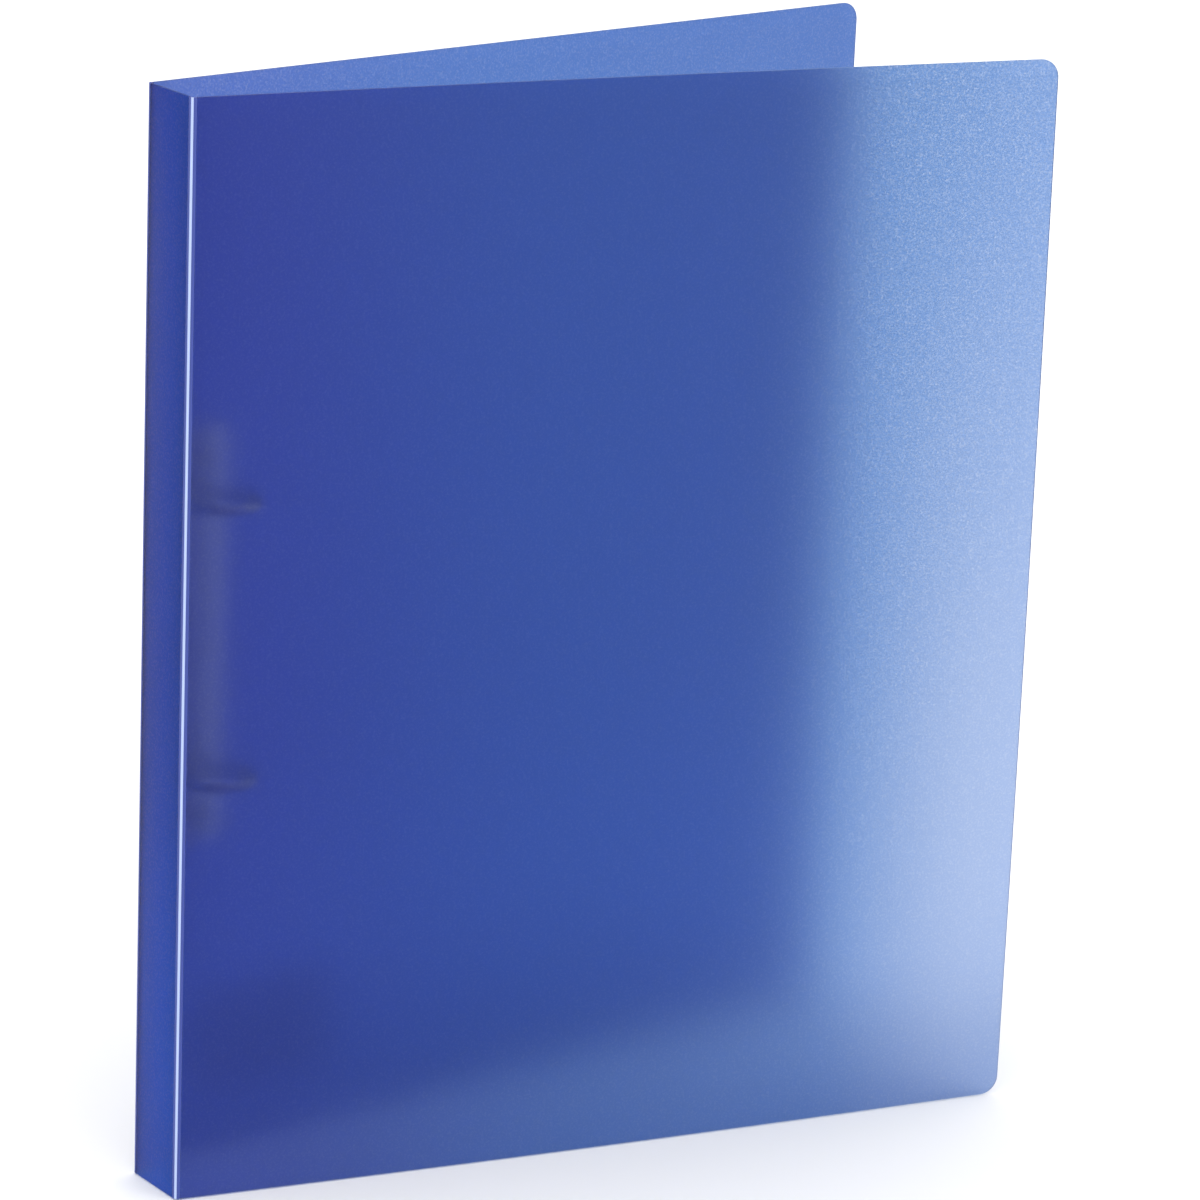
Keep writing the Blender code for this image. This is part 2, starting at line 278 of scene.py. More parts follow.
def turn_profile(name: str, profile: Sequence[tuple[float, float]],
                 sides: int) -> bpy.types.Object:
    """Draws a turned solid about Z by extruding and scaling one disc.

    Args:
        name: the piece's name.
        profile: radius and height of each ring in turn, in metres.
        sides: how many sides a ring has.

    Returns:
        The closed solid, standing on the origin.
    """
    (radius, height), *rest = profile
    deselect_all()
    bpy.ops.mesh.primitive_circle_add(vertices=sides, radius=radius, fill_type="NGON",
                                      location=(0.0, 0.0, height))
    solid = take_new(name)
    apply_place(solid)
    edit(solid)
    bpy.ops.mesh.select_all(action="SELECT")
    for next_radius, next_height in rest:
        bpy.ops.mesh.extrude_region_move(
            TRANSFORM_OT_translate={"value": (0.0, 0.0, next_height - height)})
        scale = next_radius / radius
        bpy.ops.transform.resize(value=(scale, scale, 1.0),
                                 center_override=(0.0, 0.0, next_height))
        radius, height = next_radius, next_height
    done()
    tidy_mesh(solid)
    return solid


class BentStrip:
    """A sheet's middle surface, bent up step by step as in a folding press.

    It is drawn in plan, from a start point along a heading, and stands between two heights.
    """

    def __init__(self, name: str, start: Vector, heading_deg: float, first_run: float,
                 low: float, high: float) -> None:
        """Adds the first straight run and opens it in edit mode.

        Args:
            name: the piece's name.
            start: where the strip starts, in plan.
            heading_deg: the way it runs, anticlockwise from +X.
            first_run: how far it runs straight, in metres.
            low: the height of its lower edge.
            high: the height of its upper edge.
        """
        self.heading = math.radians(heading_deg)
        self.place = start.copy()
        middle = start + self.ahead() * first_run / 2
        deselect_all()
        bpy.ops.mesh.primitive_plane_add(
            size=1.0, location=(middle.x, middle.y, (low + high) / 2),
            rotation=(math.pi / 2, 0.0, self.heading))
        self.piece = take_new(name)
        self.piece.scale = (first_run, high - low, 1.0)
        apply_place(self.piece)
        self.place += self.ahead() * first_run
        edit(self.piece)

    def grip(self) -> None:
        """Selects the edge where the strip ends."""
        select_in_edit(self.piece, Pick.EDGE, lambda edge: all(
            (vert.co.xy - self.place.xy).length < 1e-6 for vert in edge.verts))

    def ahead(self) -> Vector:
        """The direction of the strip where it ends."""
        return Vector((math.cos(self.heading), math.sin(self.heading), 0.0))

    def run(self, length: float) -> None:
        """Goes straight on.

        Args:
            length: how far, in metres.
        """
        self.grip()
        step = self.ahead() * length
        bpy.ops.mesh.extrude_region_move(TRANSFORM_OT_translate={"value": tuple(step)})
        self.place += step

    def bend(self, angle_deg: float, radius: float, steps: int) -> None:
        """Goes round an arc, to the left where the angle is positive.

        Args:
            angle_deg: how far it turns.
            radius: of the sheet's middle, in metres.
            steps: how many facets the arc has.
        """
        self.grip()
        angle = math.radians(angle_deg)
        ahead = self.ahead()
        inward = Vector((-ahead.y, ahead.x, 0.0)) * math.copysign(radius, angle)
        centre = self.place + inward
        spin_selection(angle, centre, steps)
        self.place = centre + Matrix.Rotation(angle, 3, "Z") @ (-inward)
        self.heading += angle

    def finish(self, thickness: float) -> bpy.types.Object:
        """Gives the strip its thickness, half to each side.

        Args:
            thickness: of the sheet, in metres.

        Returns:
            The closed sheet.
        """
        done()
        tidy_mesh(self.piece)
        apply_modifier(self.piece, "SOLIDIFY", thickness=thickness, offset=0.0,
                       use_even_offset=True)
        tidy_mesh(self.piece)
        return self.piece


# ---------------------------------------------------------------- finishes


def srgb(hex_colour: str) -> tuple[float, float, float, float]:
    """Turns an sRGB hex colour to the linear one that a socket takes.

    Args:
        hex_colour: such as "#3A62C8".

    Returns:
        Linear red, green, blue and an alpha of one.
    """
    digits = hex_colour.lstrip("#")
    linear = []
    for place in (0, 2, 4):
        value = int(digits[place:place + 2], 16) / 255
        low = value <= 0.04045
        linear.append(value / 12.92 if low else ((value + 0.055) / 1.055) ** 2.4)
    return linear[0], linear[1], linear[2], 1.0


def add_node(tree: bpy.types.NodeTree, kind: str, settings: dict | None = None,
             inputs: dict | None = None) -> bpy.types.Node:
    """Adds a node with its settings, socket values and links.

    Args:
        tree: the material's node tree.
        kind: the node's type name.
        settings: the node's own properties.
        inputs: a value, or another node's output socket, for each input by name or number.

    Returns:
        The node.
    """
    node = tree.nodes.new(kind)
    for key, value in (settings or {}).items():
        setattr(node, key, value)
    for key, value in (inputs or {}).items():
        if isinstance(value, bpy.types.NodeSocket):
            tree.links.new(value, node.inputs[key])
        else:
            node.inputs[key].default_value = value
    return node


SMOOTH_STEP = {"interpolation_type": "SMOOTHSTEP"}  # of a map range node: soft at both ends
WHITE = (1.0, 1.0, 1.0, 1.0)


@dataclass(frozen=True)
class Finish:
    """A material that is made once and shared by the pieces that have it."""

    name: str

    def shader_inputs(self, tree: bpy.types.NodeTree) -> dict:
        """The Principled shader's values, and the outputs that feed its sockets."""
        raise NotImplementedError

    def material(self) -> bpy.types.Material:
        """Makes the material, or returns the one already made.

        Returns:
            The material.
        """
        found = bpy.data.materials.get(self.name)
        if found is not None:
            return found
        made = bpy.data.materials.new(self.name)
        made.use_nodes = True
        tree = made.node_tree
        tree.nodes.clear()
        shader = add_node(tree, "ShaderNodeBsdfPrincipled", inputs=self.shader_inputs(tree))
        add_node(tree, "ShaderNodeOutputMaterial", inputs={"Surface": shader.outputs[0]})
        return made


@dataclass(frozen=True)
class FrostedPolypropylene(Finish):
    """Extruded polypropylene sheet, dyed blue right through, with a matt embossed grain.

    One dyed sheet lets blue light through and is mid blue, and two, one behind the
    other, are deep blue. The embossed grain scatters: things behind the sheet blur with
    their distance, and a light is reflected as a wide pale haze with a fine sparkle. The
    colour is painted deeper beside the folds, as painted shade between the covers, and
    paler towards the foot, as painted light.
    dye looks denser beside the folds.
    """

    # painted shade: the colour beside the folds is deeper than further out
    fold_shade_colour: str = "#4F69B6"
    colour: str = "#4E72B9"
    roughness: float = 0.45
    grain_mm: float = 0.6        # real grain is about 0.1 mm, drawn coarser so that it shows
    grain_height_mm: float = 0.035
    grain_contrast: float = 0.16
    ior: float = 1.27
    fold_shade_reach_mm: float = 130.0       # how far the painted shade beside the fold reaches
    thin_span: tuple[float, float] = (0.48, 0.75)  # heights of the grain that show as thin
    foot_light_colour: str = "#6087D2"  # painted light: a paler tint near the foot
    foot_light_share: float = 0.35
    foot_light_span_mm: tuple[float, float] = (140.0, 40.0)

    def tint(self, tree: bpy.types.NodeTree,
             axes: bpy.types.NodeOutputs) -> bpy.types.NodeSocket:
        """The sheet's colour, with painted shade beside the fold and painted light at the foot.

        Args:
            tree: the material's node tree.
            axes: the outputs X, Y and Z of the object coordinates.

        Returns:
            A colour output.
        """
        # painted shade: deeper colour beside the fold, fading out across the sheet
        fold_shade_ramp = add_node(tree, "ShaderNodeMapRange", SMOOTH_STEP, {
            "Value": axes["X"], "From Min": 0.0, "From Max": self.fold_shade_reach_mm * MM})
        dye_and_painted_light = add_node(tree, "ShaderNodeMixRGB", inputs={
            "Fac": fold_shade_ramp.outputs["Result"], "Color1": srgb(self.fold_shade_colour),
            "Color2": srgb(self.colour)})
        # painted light: a paler, brighter colour towards the foot
        foot_light_ramp = add_node(tree, "ShaderNodeMapRange", SMOOTH_STEP, {
            "Value": axes["Z"], "From Min": self.foot_light_span_mm[0] * MM,
            "From Max": self.foot_light_span_mm[1] * MM, "To Max": self.foot_light_share})
        foot_lit_colour = add_node(tree, "ShaderNodeMixRGB", inputs={
            "Fac": foot_light_ramp.outputs["Result"], "Color1": dye_and_painted_light.outputs["Color"],
            "Color2": srgb(self.foot_light_colour)})
        return foot_lit_colour.outputs["Color"]

    def grain_share(self, tree: bpy.types.NodeTree, axes: bpy.types.NodeOutputs,
                    grain: bpy.types.NodeSocket) -> bpy.types.NodeSocket:
        """How much the thin spots of the grain whiten the dye.

        Args:
            tree: the material's node tree.
            axes: the outputs X, Y and Z of the object coordinates; not used here.
            grain: the grain's height.

        Returns:
            A value output, from none to grain_contrast.
        """
        thin_spot = add_node(tree, "ShaderNodeMapRange", inputs={
            "Value": grain, "From Min": self.thin_span[0], "From Max": self.thin_span[1],
            "To Max": self.grain_contrast})
        return thin_spot.outputs["Result"]

    def shader_inputs(self, tree: bpy.types.NodeTree) -> dict:
        """Tinted rough transmission with bumped grain.

        Args:
            tree: the material's node tree.

        Returns:
            A value or an output for each socket of the shader.
        """
        where = add_node(tree, "ShaderNodeTexCoord")
        axes = add_node(tree, "ShaderNodeSeparateXYZ",
                        inputs={"Vector": where.outputs["Object"]})
        grain = add_node(tree, "ShaderNodeTexNoise", {"noise_dimensions": "3D"}, {
            "Vector": where.outputs["Object"], "Scale": 1.0 / (self.grain_mm * MM),
            "Detail": 3.0, "Roughness": 0.6})
        bump = add_node(tree, "ShaderNodeBump", inputs={
            "Strength": 1.0, "Distance": self.grain_height_mm * MM,
            "Height": grain.outputs["Fac"]})
        dye_and_painted_light = add_node(tree, "ShaderNodeMixRGB", inputs={
            "Fac": self.grain_share(tree, axes.outputs, grain.outputs["Fac"]),
            "Color1": self.tint(tree, axes.outputs), "Color2": WHITE})
        return {
            "Base Color": dye_and_painted_light.outputs["Color"],
            "Roughness": self.roughness,
            "IOR": self.ior,
            "Transmission Weight": 1.0,
            "Normal": bump.outputs["Normal"],
        }


@dataclass(frozen=True)
class PaintedLightPolypropylene(FrostedPolypropylene):
    """The same sheet with painted light and shade: a painted highlight pales the lower part
    of its free edge.

    Just before it pales, a soft band of painted shade fades out low down. A painted
    sparkle whitens the grain where no second sheet stands behind, most of all at the top.
    """

    foot_light_colour: str = "#8FB0E8"
    foot_light_share: float = 0.1
    # painted sparkle: the grain whitens more near the free edge, most at the top
    painted_sparkle: float = 0.42
    painted_sparkle_span_mm: tuple[float, float] = (170.0, 225.0)
    painted_sparkle_rise_mm: tuple[float, float] = (-60.0, 330.0)
    # painted shade: a band of deeper colour just inside the free edge
    shade_band_colour: str = "#6086BF"
    # painted highlight: white mixed in near the free edge, strongest at one height
    edge_highlight_amount: float = 0.19
    highlight_span_mm: tuple[float, float] = (188.0, 248.0)
    highlight_level_mm: float = 62.0  # the height at which the painted highlight is brightest
    highlight_foot_mm: float = -90.0
    highlight_head_mm: float = 330.0
    shade_band_middle_mm: float = 206.0
    shade_band_reach_mm: float = 60.0
    shade_band_rise_mm: tuple[float, float] = (-40.0, 190.0)

    def tint(self, tree: bpy.types.NodeTree,
             axes: bpy.types.NodeOutputs) -> bpy.types.NodeSocket:
        """The colour, with a band of painted shade and a painted highlight on the free edge.

        Args:
            tree: the material's node tree.
            axes: the outputs X, Y and Z of the object coordinates.

        Returns:
            A colour output.
        """
        # painted shade: a soft band of deeper colour, stronger higher up
        off_middle = add_node(tree, "ShaderNodeMath", {"operation": "SUBTRACT"}, {
            0: axes["X"], 1: self.shade_band_middle_mm * MM})
        distance = add_node(tree, "ShaderNodeMath", {"operation": "ABSOLUTE"}, {
            0: off_middle.outputs["Value"]})
        band = add_node(tree, "ShaderNodeMapRange", SMOOTH_STEP, {
            "Value": distance.outputs["Value"], "From Min": 0.0,
            "From Max": self.shade_band_reach_mm * MM, "To Min": 1.0, "To Max": 0.0})
        rise = add_node(tree, "ShaderNodeMapRange", SMOOTH_STEP, {
            "Value": axes["Z"], "From Min": self.shade_band_rise_mm[0] * MM,
            "From Max": self.shade_band_rise_mm[1] * MM})
        shade_band_share = add_node(tree, "ShaderNodeMath", {"operation": "MULTIPLY"}, {
            0: band.outputs["Result"], 1: rise.outputs["Result"]})
        shade_banded = add_node(tree, "ShaderNodeMixRGB", inputs={
            "Fac": shade_band_share.outputs["Value"], "Color1": super().tint(tree, axes),
            "Color2": srgb(self.shade_band_colour)})
        # painted highlight: white mixed in towards the free edge, fading up and down
        near_edge = add_node(tree, "ShaderNodeMapRange", SMOOTH_STEP, {
            "Value": axes["X"], "From Min": self.highlight_span_mm[0] * MM,
            "From Max": self.highlight_span_mm[1] * MM, "To Max": self.edge_highlight_amount})
        above_floor = add_node(tree, "ShaderNodeMapRange", SMOOTH_STEP, {
            "Value": axes["Z"], "From Min": self.highlight_foot_mm * MM,
            "From Max": self.highlight_level_mm * MM})
        below_top = add_node(tree, "ShaderNodeMapRange", SMOOTH_STEP, {
            "Value": axes["Z"], "From Min": self.highlight_level_mm * MM,
            "From Max": self.highlight_head_mm * MM, "To Min": 1.0, "To Max": 0.0})
        level = add_node(tree, "ShaderNodeMath", {"operation": "MULTIPLY"}, {
            0: above_floor.outputs["Result"], 1: below_top.outputs["Result"]})
        highlight_share = add_node(tree, "ShaderNodeMath", {"operation": "MULTIPLY"}, {
            0: near_edge.outputs["Result"], 1: level.outputs["Value"]})
        pale = add_node(tree, "ShaderNodeMixRGB", inputs={
            "Fac": highlight_share.outputs["Value"], "Color1": shade_banded.outputs["Color"],
            "Color2": WHITE})
        return pale.outputs["Color"]

    def grain_share(self, tree: bpy.types.NodeTree, axes: bpy.types.NodeOutputs,
                    grain: bpy.types.NodeSocket) -> bpy.types.NodeSocket:
        """The thin spots whiten the colour more towards the top of the free edge: painted
        sparkle.

        Args:
            tree: the material's node tree.
            axes: the outputs X, Y and Z of the object coordinates.
            grain: the grain's height.

        Returns:
            A value output, from none to grain_contrast or, at the most, the painted sparkle's
            share.
        """
        # painted sparkle: stronger near the free edge and towards the top
        near_edge = add_node(tree, "ShaderNodeMapRange", SMOOTH_STEP, {
            "Value": axes["X"], "From Min": self.painted_sparkle_span_mm[0] * MM,
            "From Max": self.painted_sparkle_span_mm[1] * MM})
        rise = add_node(tree, "ShaderNodeMapRange", inputs={
            "Value": axes["Z"], "From Min": self.painted_sparkle_rise_mm[0] * MM,
            "From Max": self.painted_sparkle_rise_mm[1] * MM})
        place = add_node(tree, "ShaderNodeMath", {"operation": "MULTIPLY"}, {
            0: near_edge.outputs["Result"], 1: rise.outputs["Result"]})
        contrast = add_node(tree, "ShaderNodeMapRange", inputs={
            "Value": place.outputs["Value"], "To Min": self.grain_contrast,
            "To Max": self.painted_sparkle})
        thin_spot = add_node(tree, "ShaderNodeMapRange", inputs={
            "Value": grain, "From Min": self.thin_span[0], "From Max": self.thin_span[1],
            "To Max": contrast.outputs["Result"]})
        return thin_spot.outputs["Result"]


@dataclass(frozen=True)
class NickelPlatedSteel(Finish):
    """Cold-rolled steel with bright nickel plate: warm grey, glossy, with faint wipe marks."""

    colour: str = "#DDDAD4"
    roughness: tuple[float, float] = (0.12, 0.29)
    wear_mm: float = 2.2
    wear_height_mm: float = 0.004

    def shader_inputs(self, tree: bpy.types.NodeTree) -> dict:
        """Metal whose gloss varies a little, as plated pressings do.

        Args:
            tree: the material's node tree.

        Returns:
            A value or an output for each socket of the shader.
        """
        where = add_node(tree, "ShaderNodeTexCoord")
        cloud = add_node(tree, "ShaderNodeTexNoise", inputs={
            "Vector": where.outputs["Object"], "Scale": 1.0 / (self.wear_mm * MM),
            "Detail": 5.0, "Roughness": 0.65})
        gloss = add_node(tree, "ShaderNodeMapRange", inputs={
            "Value": cloud.outputs["Fac"], "From Min": 0.3, "From Max": 0.7,
            "To Min": self.roughness[0], "To Max": self.roughness[1]})
        bump = add_node(tree, "ShaderNodeBump", inputs={
            "Strength": 0.5, "Distance": self.wear_height_mm * MM,
            "Height": cloud.outputs["Fac"]})
        return {
            "Base Color": srgb(self.colour),
            "Metallic": 1.0,
            "Roughness": gloss.outputs["Result"],
            "Normal": bump.outputs["Normal"],
        }


@dataclass(frozen=True)
class UncoatedPaper(Finish):
    """Thin uncoated white label paper, which light shines through, with a fine mottle."""

    colour: str = "#F8F8FB"
    fibre_colour: str = "#EEEFF2"
    fibre_mm: float = 0.6
    fibre_height_mm: float = 0.01
    roughness: float = 0.12
    ior: float = 1.06
    thinness: float = 0.94       # the share of the light that passes

    def shader_inputs(self, tree: bpy.types.NodeTree) -> dict:
        """A faint mottle in colour and height.

        Args:
            tree: the material's node tree.

        Returns:
            A value or an output for each socket of the shader.
        """
        where = add_node(tree, "ShaderNodeTexCoord")
        fibre = add_node(tree, "ShaderNodeTexNoise", inputs={
            "Vector": where.outputs["Object"], "Scale": 1.0 / (self.fibre_mm * MM),
            "Detail": 4.0})
        tint = add_node(tree, "ShaderNodeMixRGB", inputs={
            "Fac": fibre.outputs["Fac"], "Color1": srgb(self.colour),
            "Color2": srgb(self.fibre_colour)})
        bump = add_node(tree, "ShaderNodeBump", inputs={
            "Strength": 0.6, "Distance": self.fibre_height_mm * MM,
            "Height": fibre.outputs["Fac"]})
        return {
            "Base Color": tint.outputs["Color"],
            "Roughness": self.roughness,
            "IOR": self.ior,
            "Transmission Weight": self.thinness,
            "Normal": bump.outputs["Normal"],
        }


@dataclass(frozen=True)
class ScoredFold(Finish):
    """Polypropylene pressed thin along a score line and bent.

    The press marks scatter more than the flat sheet does, so a fold looks opaque. Where
    the bend is stretched most, a crisp pale line is partly the plastic's whitening and
    partly a painted highlight of the light on the rounded bend.
    """

    colour: str = "#3A4B9C"
    roughness: float = 0.5
    ior: float = 1.49
    mottle_mm: float = 1.6
    mottle_height_mm: float = 0.02

    def shader_inputs(self, tree: bpy.types.NodeTree) -> dict:
        """A dull dyed surface, a little uneven along the line.

        Args:
            tree: the material's node tree.

        Returns:
            A value or an output for each socket of the shader.
        """
        where = add_node(tree, "ShaderNodeTexCoord")
        mottle = add_node(tree, "ShaderNodeTexNoise", inputs={
            "Vector": where.outputs["Object"], "Scale": 1.0 / (self.mottle_mm * MM),
            "Detail": 2.0})
        bump = add_node(tree, "ShaderNodeBump", inputs={
            "Strength": 0.4, "Distance": self.mottle_height_mm * MM,
            "Height": mottle.outputs["Fac"]})
        return {
            "Base Color": srgb(self.colour),
            "Roughness": self.roughness,
            "IOR": self.ior,
            "Normal": bump.outputs["Normal"],
        }


# back cover: its own blue, with painted shade beside the fold and painted light towards the foot
SHEET_FINISH = FrostedPolypropylene("frosted_blue_polypropylene")
# front cover: the same sheet as the back one; its paler colours are painted light
FRONT_PAINTED_LIGHT_FINISH = PaintedLightPolypropylene(
    "frosted_blue_polypropylene_pale", fold_shade_colour="#727FC5", colour="#7294CB")
# spine: its deeper, bluer colour than the covers is painted shade, and its foot is painted
# lighter
SPINE_FINISH = FrostedPolypropylene(
    "frosted_blue_polypropylene_spine", fold_shade_colour="#3F6CC8", colour="#3F6CC8", ior=1.2,
    foot_light_colour="#4A94F5", foot_light_share=0.5, foot_light_span_mm=(160.0, 0.0))
FOLD_FINISH = ScoredFold("scored_blue_polypropylene")
# partly stress whitening, partly a painted highlight on the rounded bend
CREASE_HIGHLIGHT_FINISH = ScoredFold("stress_whitened_polypropylene", colour="#BCCDF9")
METAL_FINISH = NickelPlatedSteel("bright_nickel_plate")
PAPER_FINISH = UncoatedPaper("uncoated_label_paper")


class Slot(Enum):
    """The record's material slots."""

    SHEET = "blue_polypropylene"
    METAL = "nickel_plated_steel"
    PAPER = "white_paper"


def dress(piece: bpy.types.Object, finish: Finish) -> None:
    """Gives a piece its finish."""
    piece.data.materials.clear()
    piece.data.materials.append(finish.material())


# ---------------------------------------------------------------- places from the frame


def joint_named(name: str) -> dict:
    """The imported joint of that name."""
    return next(joint for joint in frame["joints"] if joint["name"] == name)


@dataclass
class CoverFrame:
    """A cover's own axes: along it from its fold line, out of the binder, and up."""

    joint: str
    node: str
    outward: int                 # which way along Y is out of the binder
    place: Matrix = field(init=False)
    width: float = field(init=False)
    height: float = field(init=False)

    def __post_init__(self) -> None:
        """Reads the fold line, the rest angle and the cover's size from the frame."""
        fold = joint_named(self.joint)
        rest_angle = -math.radians(fold["range_deg"][0])
        turn = Matrix.Rotation(self.outward * rest_angle, 4, "Z")
        self.place = Matrix.Translation(fold["pos_m"]) @ turn
        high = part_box(self.node)[1]
        self.width = (high.x - SHEET / 2 * abs(math.sin(rest_angle))) / math.cos(rest_angle)
        self.height = high.z

    def local(self, place: Point) -> Vector:
        """A place in the frame, in the cover's own axes."""
        return self.place.inverted() @ Vector(place)

    def put(self, piece: bpy.types.Object) -> None:
        """Moves a piece drawn in the cover's own axes to its place in the frame."""
        piece.matrix_world = self.place
        apply_place(piece)


SPINE_LOW, SPINE_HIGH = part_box("spine_panel")
SHEET = SPINE_HIGH.x - SPINE_LOW.x
FRONT = CoverFrame("front_fold", "front_cover", outward=-1)
BACK = CoverFrame("back_fold", "back_cover", outward=1)


# ---------------------------------------------------------------- shell


@dataclass
class Shell:
    """The covers, the spine and the bent webs that join them."""

    web_reach: float = 1.15 * MM      # from a fold line to the panels beside it
    corner_radius: float = 5.5 * MM
    corner_segments: int = 12
    edge_round_mm: float = 0.12
    columns: int = 15                 # cuts across a cover, so that it bows smoothly
    rows: int = 11
    hole_sides: int = 48
    seam: float = 0.03 * MM
    rail_clear: float = 34.0 * MM     # the back cover is held flat by the rail this far
    front_sway_mm: float = 1.5        # the front cover's twist, out at one end, in at the other
    front_belly_mm: float = 0.8
    back_belly_mm: float = 1.2
    stiff_rows: int = 7               # cuts across the spine and the webs
    web_lead: float = 0.35 * MM       # the flat strip at each side of a bend
    bend_steps: int = 10
    blend_half: float = 0.5 * MM      # a web bends this far to each side of the fold line
    crease_deg: float = 17.0          # the whitened part with its painted highlight, to each side of the bend's middle

    def front_bow(self, along: float, up: float) -> float:
        """How far the front cover stands out of its plane.

        Args:
            along: the share of its width, from the fold.
            up: the share of its height.

        Returns:
            The distance in metres, positive out of the binder.
        """
        sway = self.front_sway_mm * math.sin(math.pi * along) * math.cos(math.pi * up)
        belly = self.front_belly_mm * along ** 2 * math.sin(math.pi * up)
        return (sway + belly) * MM

    def back_bow(self, along: float, up: float) -> float:
        """How far the back cover stands out of its plane.

        Args:
            along: the share of its width, from the fold.
            up: the share of its height.

        Returns:
            The distance in metres, positive out of the binder.
        """
        free = max(0.0, along - self.rail_clear / BACK.width)
        return self.back_belly_mm * free ** 2 * math.sin(math.pi * up) * MM

    def panel(self, name: str, cover: CoverFrame,
              bow: Callable[[float, float], float]) -> bpy.types.Object:
        """One cover: a sheet with two round corners, cut into a grid and gently bowed.

        Args:
            name: the piece's name.
            cover: where it hangs.
            bow: its shape out of plane, from the shares of its width and height.

        Returns:
            The cover, still in its own axes.
        """
        start = self.web_reach + self.seam
        sheet = add_block(name, (start, -SHEET / 2, 0.0),
                          (cover.width, SHEET / 2, cover.height))
        edit(sheet)
        select_in_edit(sheet, Pick.EDGE, lambda edge: all(
            vert.co.x > cover.width - 1e-5 for vert in edge.verts)
            and abs(edge.verts[0].co.y - edge.verts[1].co.y) > SHEET / 2)
        bpy.ops.mesh.bevel(offset=self.corner_radius, segments=self.corner_segments,
                           affect="EDGES")
        inner_width = cover.width - self.corner_radius
        cut_loops(sheet, spread(start, inner_width, self.columns) + [inner_width], 0)
        low, high = self.corner_radius, cover.height - self.corner_radius
        cut_loops(sheet, [low] + spread(low, high, self.rows) + [high], 2)
        mesh_data = bmesh.from_edit_mesh(sheet.data)
        for vert in mesh_data.verts:
            offset = bow(vert.co.x / cover.width, vert.co.z / cover.height)
            vert.co.y += cover.outward * offset
        bmesh.update_edit_mesh(sheet.data)
        done()
        return sheet

    def finish_panel(self, sheet: bpy.types.Object, finish: Finish, body: str,
                     node: str) -> None:
        """Rounds, shades, dresses and hangs a panel that is in place.

        Args:
            sheet: the panel.
            finish: its material.
            body: the body that it rides on.
            node: the CAD node that it stands for.
        """
        round_edges(sheet, self.edge_round_mm, angle_deg=60.0)
        smooth(sheet, 40.0)
        dress(sheet, finish)
        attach(sheet, body)
        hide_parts(node)
        log.info("%s rides on %s", sheet.name, body)

    def build_front(self) -> None:
        """The front cover."""
        sheet = self.panel("front_cover_sheet", FRONT, self.front_bow)
        FRONT.put(sheet)
        self.finish_panel(sheet, FRONT_PAINTED_LIGHT_FINISH, "front", "front_cover")

    def build_back(self, rivet_places: Sequence[Vector], hole_radius: float) -> None:
        """The back cover, with a hole for each rivet.

        Args:
            rivet_places: the rivets' centres in the cover's own axes.
            hole_radius: in metres.
        """
        sheet = self.panel("back_cover_sheet", BACK, self.back_bow)
        for place in rivet_places:
            deselect_all()
            bpy.ops.mesh.primitive_cylinder_add(
                vertices=self.hole_sides, radius=hole_radius, depth=4 * SHEET,
                location=(place.x, 0.0, place.z), rotation=(math.pi / 2, 0.0, 0.0))
            drill = take_new("drill")
            apply_place(drill)
            cut_away(sheet, drill)
        BACK.put(sheet)
        self.finish_panel(sheet, SHEET_FINISH, "back", "back_cover")

    def build_spine(self) -> None:
        """The spine panel."""
        half = abs(joint_named("front_fold")["pos_m"][1]) - self.web_reach - self.seam
        sheet = add_block("spine_sheet", (-SHEET / 2, -half, 0.0),
                          (SHEET / 2, half, SPINE_HIGH.z))
        edit(sheet)
        cut_loops(sheet, spread(0.0, SPINE_HIGH.z, self.stiff_rows), 2)
        done()
        self.finish_panel(sheet, SPINE_FINISH, "spine", "spine_panel")

    def build_web(self, name: str, cover: CoverFrame, body: str, node: str) -> None:
        """A fold: the sheet bends round from the spine's plane into the cover's.

        Args:
            name: the piece's name.
            cover: the cover that the fold carries.
            body: that cover's body.
            node: the CAD web that this one stands for.
        """
        side = cover.outward
        fold = Vector(cover.place.translation)
        along = (cover.place.to_3x3() @ Vector((1.0, 0.0, 0.0))).normalized()
        turn = math.acos(max(-1.0, min(1.0, along.dot(Vector((0.0, side, 0.0))))))
        radius = (self.web_reach - self.web_lead) / math.tan(turn / 2)
        strip = BentStrip(name, Vector((0.0, fold.y - side * self.web_reach, 0.0)),
                          side * 90.0, self.web_lead, 0.0, SPINE_HIGH.z)
        strip.bend(-side * math.degrees(turn), radius, self.bend_steps)
        strip.run(self.web_lead)
        cut_loops(strip.piece, spread(0.0, SPINE_HIGH.z, self.stiff_rows), 2)
        web = strip.finish(SHEET)
        smooth(web, 50.0)
        outside = (Vector((0.0, side, 0.0)) - along).normalized()
        # the crease faces: partly stress whitening, partly a painted highlight on the bend
        web.data.materials.append(FOLD_FINISH.material())
        web.data.materials.append(CREASE_HIGHLIGHT_FINISH.material())
        web.active_material_index = 1
        edit(web)
        select_in_edit(web, Pick.FACE, lambda face: face.normal.dot(outside)
                       > math.cos(math.radians(self.crease_deg)))
        bpy.ops.object.material_slot_assign()
        done()
        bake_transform(web)
        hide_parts(node)
        log.info("%s bends between spine and %s", name, body)

    def build(self, rivet_places: Sequence[Vector], hole_radius: float) -> None:
        """All of the shell.

        Args:
            rivet_places: the rivets' centres in the back cover's own axes.
            hole_radius: of the rivet holes, in metres.
        """
        self.build_front()
        self.build_back(rivet_places, hole_radius)
        self.build_spine()
        self.build_web("front_fold_bend", FRONT, "front", "front_fold_web")
        self.build_web("back_fold_bend", BACK, "back", "back_fold_web")


# ---------------------------------------------------------------- ring mechanism


def middle_of(node: str) -> Vector:
    """The middle of a CAD node's box."""
    low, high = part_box(node)
    return (Vector(low) + Vector(high)) / 2


